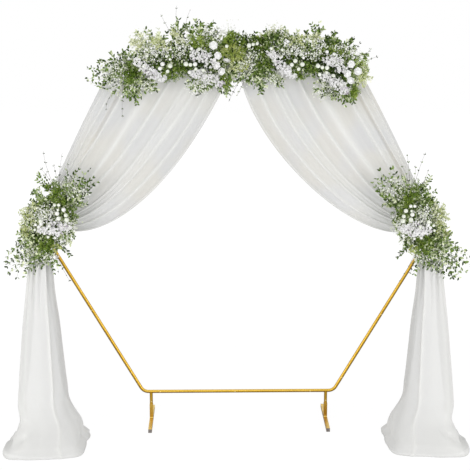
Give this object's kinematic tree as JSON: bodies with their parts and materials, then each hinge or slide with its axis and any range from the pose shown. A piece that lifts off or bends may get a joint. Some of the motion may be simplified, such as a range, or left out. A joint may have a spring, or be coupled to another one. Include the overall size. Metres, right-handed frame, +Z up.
{
  "type": "wedding arch",
  "caption": "Free-standing hexagonal arch of gold tube on two bar feet, with white side drapes tied back and artificial flower sprays.",
  "frame": {"origin": "on the floor, at the middle of the whole arch's footprint", "axes": "+Z up, front towards -Y, +X to the right seen from the front"},
  "size_m": [2.606, 0.81, 2.3582],
  "materials": {
    "gold_tube": "gold paint, satin gloss",
    "gold_foot": "gold paint, satin gloss",
    "screw_steel": "gold plated screw",
    "cap_plastic": "grey moulded plastic",
    "chiffon": "sheer white chiffon",
    "ribbon": "white satin ribbon",
    "leaf_green": "printed fabric leaves",
    "petal_white": "white fabric petals",
    "stem_brown": "moulded brown stem",
    "tie_green": "green moulded strap"
  },
  "bodies": {
    "root": {"left_elbow": "gold_tube", "bottom_left_elbow": "gold_tube", "bottom_right_elbow": "gold_tube", "right_elbow": "gold_tube", "top_right_elbow": "gold_tube", "top_left_elbow": "gold_tube", "lower_left_tube_upper": "gold_tube", "lower_left_tube_lower": "gold_tube", "bottom_rail_left": "gold_tube", "bottom_rail_right": "gold_tube", "lower_right_tube_lower": "gold_tube", "lower_right_tube_upper": "gold_tube", "upper_right_tube_lower": "gold_tube", "upper_right_tube_upper": "gold_tube", "top_rail_right": "gold_tube", "top_rail_left": "gold_tube", "upper_left_tube_upper": "gold_tube", "upper_left_tube_lower": "gold_tube", "joint_screws": "screw_steel", "left_foot_post": "gold_foot", "left_foot_bar": "gold_foot", "left_foot_caps": "cap_plastic", "left_drape_swag": "chiffon", "left_drape_tail": "chiffon", "left_tie_band": "ribbon", "right_foot_post": "gold_foot", "right_foot_bar": "gold_foot", "right_foot_caps": "cap_plastic", "right_drape_swag": "chiffon", "right_drape_tail": "chiffon", "right_tie_band": "ribbon", "top_left_stem": "stem_brown", "top_left_leaves": "leaf_green", "top_left_blossoms": "petal_white", "top_right_stem": "stem_brown", "top_right_leaves": "leaf_green", "top_right_blossoms": "petal_white", "left_bouquet_stem": "stem_brown", "left_bouquet_leaves": "leaf_green", "left_bouquet_blossoms": "petal_white", "right_bouquet_stem": "stem_brown", "right_bouquet_leaves": "leaf_green", "right_bouquet_blossoms": "petal_white", "top_left_ties": "tie_green", "top_right_ties": "tie_green"}
  },
  "joints": []
}
